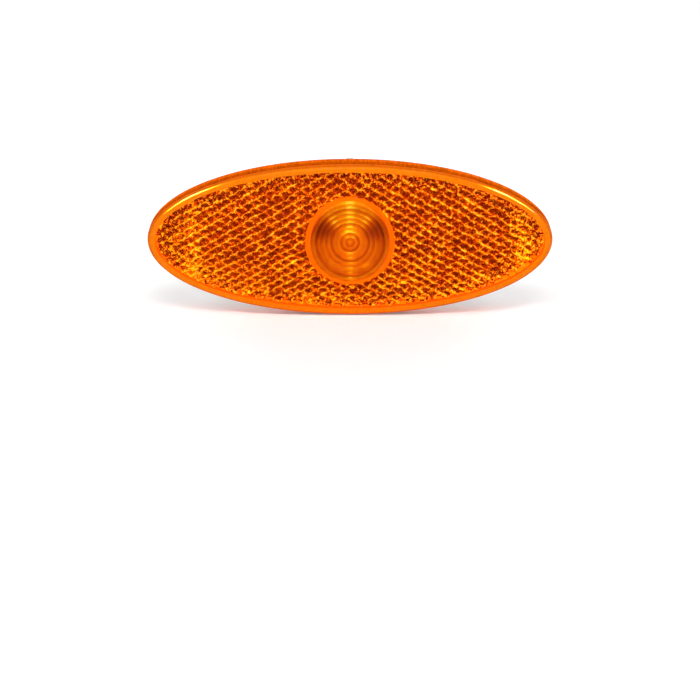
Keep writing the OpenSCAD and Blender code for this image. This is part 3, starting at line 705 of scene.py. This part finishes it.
for facet, slot in zip(mesh.polygons, finish):
    facet.material_index = slot


# Housing: pale grey moulding
housing = {
    "domeLength": 51, "domeWidth": 29.6, "domeHeight": 10.3,
    "domeWall": 1.7, "domeCurve": 1.4, "domeLap": 0.6,
    "tubeRadius": 11.3, "tubeHeight": 33.6, "tubeWall": 0.95, "tubeDraft": 0.7,
    "paintedGlow": 0.35,  # painted glow of the inside faces, standing in for light that the thin pale wall lets through
    "look": {
        "Color": (0.62, 0.62, 0.61, 1), "Shade": 0.06, "Roughness": 0.18, "Roughness Spread": 0.12,
        "Grain Scale": 3500, "Patch Scale": 120, "Bump": 0.08,
    },
}
tab = {
    "inset": 8.3, "width": 8.6, "post": 2.2, "height": 5.9, "hookThickness": 1.7, "hookReach": 1.9,
    "ribHeight": 5.2, "ribLength": 10.8, "corner": 2.6,
}
post = {
    "inset": 11, "depth": 3.7, "width": 7.9, "flare": 2.4, "height": 13.7, "cheek": 0.6, "gussetHeight": 12.7,
    "ribThickness": 0.95, "ribSpan": 6.3, "fin": 0.9, "capHeight": 0.7, "capLip": 0.2, "socketHeight": 4.4,
}
strip = {
    "width": 6, "thickness": 0.5, "gap": 0.06, "crestHeight": 2.7, "crestBend": 1.9, "slope": 33,
    "elbowHeight": 6.5, "elbowBend": 1.5,
    "look": {
        # The very dark dull colour and the high contrast paint dark reflections into the steel along with its
        # brush lines
        "Bright": (0.5, 0.5, 0.49, 1), "Dull And Painted Reflection": (0.1, 0.097, 0.085, 1),
        "Roughness": 0.2, "Roughness Spread": 0.1,
        "Stretch": (0.5, 0.5, 0.04), "Scale": 900, "Contrast": 2.6, "Bump": 0.06,
    },
}
tubeTop = plateTop + housing["tubeHeight"]
domeTop = plateTop + housing["domeHeight"]
footRadius = housing["tubeRadius"] + housing["tubeDraft"]
boreRadius = housing["tubeRadius"] - housing["tubeWall"]
bayonet = {
    "collarTop": 28.55, "collarBase": 26.15, "lugBase": 24.25, "collarBore": 8.3,
    "gate": (7.9, 9.6, 45, 36),  # inner and outer radius, direction, angle
    "stop": (8.7, 10), "stopsAt": (-22, 67),  # inner radius, angle; directions
}


def domeSolid(length, width, topRadius, base, top, slices=26):
    rings = []
    for i in range(slices + 1):
        rise = math.sin(math.radians(90 * i / slices))
        share = 1 - (1 - rise ** housing["domeCurve"]) ** (1 / housing["domeCurve"])
        rings.append(oval(
            length / 2 * (1 - share) + topRadius * share, width / 2 * (1 - share) + topRadius * share,
            base + (top - base) * rise, 144,
        ))
    return loft("dome", rings)


def ribPair(outline, mirror=False):
    ribs = []
    offset = post["ribSpan"] / 2 - post["ribThickness"] / 2
    for side in (-1, 1):
        rib = softened(upright("rib", outline, side * offset, post["ribThickness"]), 0.2)
        ribs.append(mirrored(rib) if mirror else rib)
    return ribs


def hookTab():
    root = plateTop - overlap
    out = halfLength - tab["inset"]
    inner = out - tab["post"]
    top = plateTop + tab["height"]
    base = top - tab["hookThickness"]
    tip = out + tab["hookReach"]
    stem = [(inner, root), (out, root), (out, base + overlap), (inner, base + overlap)]
    stem = softened(upright("stem", stem, 0, tab["width"]), 0.25)
    head = upright("head", [
        (inner, base - tab["hookReach"] / 2), (out, base - tab["hookReach"] / 2), (tip - 0.3, base + 0.2),
        (tip, base + 0.5), (tip, top - 0.2), (tip - 0.2, top), (inner, top),
    ], 0, tab["width"])
    half, corner = tab["width"] / 2, tab["corner"]
    outline = [(inner - 0.01, -half)]
    for i in range(9):
        t = math.radians(-90 + 90 * i / 8)
        outline.append((tip - corner + corner * math.cos(t), corner - half + corner * math.sin(t)))
    outline += [(x, -y) for x, y in reversed(outline)]
    head = combined(head, [slab("headOutline", outline, root, top + overlap)], "INTERSECT")
    softened(head, 0.2)
    end = inner - tab["ribLength"]
    ribTop = plateTop + tab["ribHeight"]
    ribs = ribPair([
        (inner + overlap, root), (inner + overlap, ribTop), (end + 4.4, ribTop - 0.3),
        (end + 3.6, ribTop - 0.8), (end + 0.2, plateTop + 0.3), (end, root),
    ])
    return [stem, head, *ribs]


def clipPost():
    root = plateTop - overlap
    out = halfLength - post["inset"]
    inner = out - post["depth"]
    top = plateTop + post["height"]
    gussetTop = plateTop + post["gussetHeight"]
    cheekIn = strip["width"] / 2 + strip["gap"]
    half = post["width"] / 2
    pieces = []
    fins = [
        (inner, 0.35 * post["flare"], gussetTop), (inner + 1.2, post["flare"], top - post["capHeight"] / 2),
        (out - post["fin"], 0.35 * post["flare"], top - post["capHeight"] / 2),
    ]
    for side in (-1, 1):
        for x, flare, finTop in fins:
            outline = [(cheekIn, root), (half + flare, root), (half, finTop), (cheekIn, finTop)]
            rings = [[(x + dx, side * y, h) for y, h in outline] for dx in (0, post["fin"])]
            pieces.append(softened(loft("fin", rings), 0.12))
        y0, y1 = sorted((side * cheekIn, side * (cheekIn + post["cheek"])))
        pieces.append(block("cheek", (inner, y0, root), (out, y1, gussetTop)))
        pieces.append(block("cheek", (inner + post["fin"], y0, root), (out, y1, top - post["capHeight"] / 2)))
        y0, y1 = sorted((side * cheekIn, side * (half + post["capLip"] / 2)))
        lip = post["capLip"] / 2
        cap = block("cap", (inner + post["fin"] - lip, y0, top - post["capHeight"]), (out + lip, y1, top))
        pieces.append(softened(cap, 0.18))
    wide = cheekIn + overlap
    pieces.append(block("back", (inner, -wide, root), (inner + post["cheek"], wide, gussetTop)))
    pieces.append(block("socket", (inner, -wide, root), (out, wide, plateTop + post["socketHeight"])))
    domeEnd = housing["domeLength"] / 2
    gussets = ribPair([
        (inner + post["cheek"] / 2, root), (inner + post["cheek"] / 2, gussetTop), (inner - 2.8, gussetTop),
        (inner - 4.2, gussetTop - 0.5), (domeEnd - 4, plateTop + 6), (domeEnd - 6, plateTop + 4.4),
        (domeEnd - 6, root),
    ], mirror=True)
    return [mirrored(p) for p in pieces] + gussets


def clipX():
    return halfLength - post["inset"] - post["depth"] + post["cheek"] + strip["gap"] + strip["thickness"] / 2


def clipSlot():
    half = strip["thickness"] / 2 + strip["gap"]
    wide = strip["width"] / 2 + strip["gap"]
    low = plateTop + 1.5 - strip["gap"]
    return mirrored(block("slot", (clipX() - half, -wide, low), (clipX() + half, wide, 30)))


print("making the housing")
plateA = halfLength - lens["skirtWall"] - plate["gap"]
plateB = halfHeight - lens["skirtWall"] - plate["gap"]
body = loft("plate", [
    oval(plateA, plateB, plateBase), oval(plateA, plateB, plateTop - 0.25),
    oval(plateA - 0.08, plateB - 0.08, plateTop - 0.08), oval(plateA - 0.25, plateB - 0.25, plateTop),
])
tubeEdge = 0.3
tube = turned("tube", [
    (footRadius, domeTop - overlap), (housing["tubeRadius"], tubeTop - tubeEdge),
    (housing["tubeRadius"] - 0.09, tubeTop - 0.09), (housing["tubeRadius"] - tubeEdge, tubeTop),
], 160)
domeShoulder = footRadius - housing["domeLap"]
dome = domeSolid(housing["domeLength"], housing["domeWidth"], domeShoulder, plateTop - overlap, domeTop)
combined(body, [dome, tube, *hookTab(), *clipPost()], "UNION")
hollow = domeSolid(
    housing["domeLength"] - 2 * housing["domeWall"], housing["domeWidth"] - 2 * housing["domeWall"],
    boreRadius - housing["domeLap"], plateBase - overlap, domeTop - housing["domeWall"],
)
bore = turned("bore", [
    (boreRadius, plateTop), (boreRadius, tubeTop - 0.25),
    (boreRadius + 0.3, tubeTop + 0.05), (boreRadius + 0.3, tubeTop + overlap),
], 160)
combined(body, [hollow, bore, clipSlot()], "DIFFERENCE")
gateIn, gateOut, gateAt, gateAngle = bayonet["gate"]
stopIn, stopAngle = bayonet["stop"]
collarBase, collarTop = bayonet["collarBase"], bayonet["collarTop"]
collar = turned("collar", [(boreRadius + overlap, collarBase), (boreRadius + overlap, collarTop)], 160)
collarBore = [(bayonet["collarBore"], collarBase - overlap), (bayonet["collarBore"], collarTop + overlap)]
combined(collar, [turned("collarBore", collarBore, 160)] + [
    sector("gate", gateIn, gateOut, collarBase - overlap, collarTop + overlap, turn + gateAt, gateAngle)
    for turn in (0, 180)
], "DIFFERENCE")
stopOut = boreRadius + overlap
combined(body, [collar] + [
    sector("stop", stopIn, stopOut, bayonet["lugBase"], collarBase + overlap, turn + at, stopAngle)
    for turn in (0, 180) for at in bayonet["stopsAt"]
], "UNION")
greyPlastic = wornMaterial("paleGreyPlastic", mouldedSurface, housing["look"], **{
    "Specular IOR Level": 0.025,
})
# The inside faces carry a painted glow
insideGrey = wornMaterial("paleGreyInside", mouldedSurface, housing["look"], **{
    "Emission Color": (1, 0.97, 0.93, 1), "Emission Strength": housing["paintedGlow"],
})
inside = []
for face in body.data.polygons:
    x, y, h = face.center
    radius = math.hypot(x, y)
    underDome = math.hypot(x / (housing["domeLength"] / 2), y / (housing["domeWidth"] / 2)) < 1
    under = h < plateBase + 0.01
    facesDown = face.normal.z < -0.05 and h < domeTop - housing["domeWall"] + 0.01
    hollowed = facesDown and underDome and radius > boreRadius - 1
    bored = radius < boreRadius + 0.1 and plateTop < h < bayonet["collarBase"]
    inside.append(under or hollowed or bored)
body.data.transform(toRow)
dress(body, "housingGrey", "lamp", greyPlastic, "housing")
body.data.materials.append(insideGrey)
for face, isInside in zip(body.data.polygons, inside):
    face.material_index = int(isInside)


# Spring clip: one bent strip of bright steel
def bend(before, corner, after, radius, steps=8):
    before, corner, after = Vector(before), Vector(corner), Vector(after)
    u, v = (before - corner).normalized(), (after - corner).normalized()
    half = math.acos(u.dot(v)) / 2
    centre = corner + (u + v).normalized() * radius / math.sin(half)
    first = corner + u * radius / math.tan(half) - centre
    last = corner + v * radius / math.tan(half) - centre
    turn = (math.pi - 2 * half) * math.copysign(1, first.x * last.y - first.y * last.x)
    return [
        centre + Vector((
            first.x * math.cos(turn * i / steps) - first.y * math.sin(turn * i / steps),
            first.x * math.sin(turn * i / steps) + first.y * math.cos(turn * i / steps),
        )) for i in range(steps + 1)
    ]


def clipPath():
    slope = math.radians(strip["slope"])
    apexLevel = (
        plateTop + post["height"] + strip["crestHeight"] - strip["thickness"] / 2
        - strip["crestBend"] + strip["crestBend"] / math.tan(slope / 2)
    )
    elbowLevel = plateTop + strip["elbowHeight"]
    foot = Vector((clipX(), plateTop + 1.5))
    apex = Vector((clipX(), apexLevel))
    elbow = Vector((clipX() + (apexLevel - elbowLevel) * math.tan(slope), elbowLevel))
    knee = elbow - Vector((1.1, 2.7))
    toe = Vector((knee.x - 3.2, plateTop + strip["thickness"]))
    return [
        foot, *bend(foot, apex, elbow, strip["crestBend"], 20),
        *bend(apex, elbow, knee, strip["elbowBend"], 12),
        *bend(elbow, knee, toe, 2 * strip["elbowBend"], 6), toe,
    ]


def pathSide(path, shift):
    side = []
    for i, point in enumerate(path):
        along = (path[min(i + 1, len(path) - 1)] - path[max(i - 1, 0)]).normalized()
        side.append(point + shift * Vector((-along.y, along.x)))
    return side


print("making the clip")
path = clipPath()
outline = pathSide(path, strip["thickness"] / 2) + pathSide(path, -strip["thickness"] / 2)[::-1]
clip = mirrored(softened(upright("clip", [tuple(p) for p in outline], 0, strip["width"]), 0.06, 2, 50))
clip.data.transform(toRow)
steel = wornMaterial("springSteel", brushedMetal, strip["look"], Metallic=1.0)
dress(clip, "springClip", "lamp", steel, "spring_clip")


# The holder and what it carries take the CAD solids with softened edges
def roundedCopy(node, width, segments=2, angle=35):
    copy = newObject(node + "Copy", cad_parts[node].data.copy())
    copy.data.transform(toRow.inverted())
    bm = bmesh.new()
    bm.from_mesh(copy.data)
    bmesh.ops.remove_doubles(bm, verts=bm.verts, dist=1e-4)
    bmesh.ops.dissolve_limit(bm, angle_limit=math.radians(1), verts=bm.verts, edges=bm.edges)
    bm.to_mesh(copy.data)
    bm.free()
    softened(copy, width, segments, angle)
    copy.data.transform(toRow)
    return copy


print("making the holder")
holder = {
    "edge": 0.2,
    "look": {
        "Color": (0.02, 0.0195, 0.021, 1), "Shade": 0.3, "Roughness": 0.26, "Roughness Spread": 0.2,
        "Grain Scale": 4500, "Patch Scale": 150, "Bump": 0.15,
    },
}
blackPlastic = wornMaterial("blackPlastic", mouldedSurface, holder["look"], **{"Specular IOR Level": 0.045})
holderPiece = roundedCopy("bulb_holder", holder["edge"])
dress(holderPiece, "bulbHolder", "holder", blackPlastic, "bulb_holder")
rubber = wornMaterial("sealRubber", mouldedSurface, {
    "Color": (0.03, 0.03, 0.03, 1), "Shade": 0.2, "Roughness": 0.7, "Roughness Spread": 0.1,
    "Grain Scale": 5000, "Patch Scale": 200, "Bump": 0.2,
})
dress(roundedCopy("holder_seal", 0.25), "holderSeal", "holder", rubber, "holder_seal")
brass = wornMaterial("terminalBrass", brushedMetal, {
    "Bright": (0.86, 0.56, 0.3, 1), "Dull And Painted Reflection": (0.62, 0.34, 0.16, 1), "Roughness": 0.2, "Roughness Spread": 0.15,
    "Stretch": (1, 0.1, 1), "Scale": 3000, "Contrast": 1, "Bump": 0.05,
}, Metallic=1.0)
for side in ("left", "right"):
    node = "terminal_" + side
    dress(roundedCopy(node, 0.08), "terminal" + side.capitalize(), "holder", brass, node)
glass, glassShader = newMaterial("bulbGlass", **{
    "Base Color": (0.97, 0.98, 1, 1), "Roughness": 0.0, "IOR": 1.5, "Transmission Weight": 1.0,
})
smeared(glass, glassShader, 200, 0.0, 0.04)
dress(roundedCopy("bulb", 0.3), "bulbGlass", "holder", glass, "bulb")


# Floor, light and camera
print("making the studio")
studio = {"floorSize": 1.6, "floorFade": (0.25, 0.7), "floorWhite": 0.16, "world": 0.4}
scene = bpy.context.scene
floorLevel = -halfHeight / 1000
floor = newObject("floor", bpy.data.meshes.new("floor"))
half = studio["floorSize"] / 2
corners = [(x * half, y * half, floorLevel) for x, y in ((-1, -1), (1, -1), (1, 1), (-1, 1))]
floor.data.from_pydata(corners, [], [(0, 1, 2, 3)])
floorPaint, floorShader = newMaterial("floorPaint", **{
    "Base Color": (0.95, 0.95, 0.95, 1), "Roughness": 0.9, "Specular IOR Level": 0.1,
    "Emission Color": (1, 1, 1, 1),
})


def seenWhite(tree):  # 1 for rays that show the studio, 0 for those that light the lamp
    rays = tree.nodes.new("ShaderNodeLightPath").outputs
    seen = mathNode(tree, "MAXIMUM", rays["Is Camera Ray"], rays["Is Glossy Ray"])
    return mathNode(tree, "MAXIMUM", seen, rays["Is Transmission Ray"])


tree = floorPaint.node_tree
strength = mathNode(tree, "MULTIPLY", seenWhite(tree), studio["floorWhite"])
feed(tree, floorShader.inputs["Emission Strength"], strength)
away = tree.nodes.new("ShaderNodeVectorMath")
away.operation = "LENGTH"
feed(tree, away.inputs[0], objectPlace(tree))
fade = rangeNode(tree, away.outputs["Value"], *studio["floorFade"], 1, 0)
fade.node.interpolation_type = "SMOOTHSTEP"
feed(tree, floorShader.inputs["Alpha"], fade)
floor.data.materials.append(floorPaint)

world = bpy.data.worlds.new("studio")
scene.world = world
world.use_nodes = True
tree = world.node_tree
back = tree.nodes["Background"]
back.inputs["Color"].default_value = (1, 1, 1, 1)
strength = mathNode(tree, "MULTIPLY_ADD", seenWhite(tree), 1 - studio["world"], studio["world"])
feed(tree, back.inputs["Strength"], strength)

softboxes = [  # place, width, height, power; they light the lamp
    ((0.0, -0.65, 0.75), 0.5, 0.25, 3.7),
    ((-0.75, -0.6, 0.7), 0.22, 0.22, 1.8),
    ((0.75, -0.6, 0.7), 0.22, 0.22, 1.8),
    ((-0.6, 0.9, 0.35), 0.3, 0.3, 3.4),
    ((0.6, 0.9, 0.35), 0.3, 0.3, 3.4),
]
reflectors = [  # the same, but only seen as highlights on the surfaces
    ((-0.6, -0.5, 0.66), 0.14, 0.5, 68),
    ((0.6, -0.5, 0.66), 0.14, 0.5, 68),
    ((-0.5, 0.8, 0.5), 0.25, 0.25, 7),
    ((0.5, 0.8, 0.5), 0.25, 0.25, 7),
]
for place, width, height, power in softboxes + reflectors:
    light = bpy.data.lights.new("softbox", "AREA")
    light.shape = "RECTANGLE"
    light.size, light.size_y, light.energy = width, height, power
    lamp = bpy.data.objects.new("softbox", light)
    lamp.location = place
    lamp.rotation_euler = (-Vector(place)).to_track_quat("-Z", "Y").to_euler()
    lamp.visible_diffuse = lamp.visible_transmission = (place, width, height, power) in softboxes
    scene.collection.objects.link(lamp)

view = {"distance": 0.5, "elevation": 14.0, "pitch": 17.3, "focal": 2005 / 700}
camera = bpy.data.objects.new("camera", bpy.data.cameras.new("camera"))
camera.data.sensor_width = 36
camera.data.lens = view["focal"] * 36
rise = math.radians(view["elevation"])
camera.location = (0, -view["distance"] * math.cos(rise), view["distance"] * math.sin(rise))
camera.rotation_euler = (math.radians(90 - view["pitch"]), 0, 0)
camera.data.clip_start = 0.01
scene.collection.objects.link(camera)
scene.camera = camera
scene.view_settings.view_transform = "Standard"
scene.cycles.max_bounces = 32
scene.cycles.glossy_bounces = 24
scene.cycles.transmission_bounces = 32
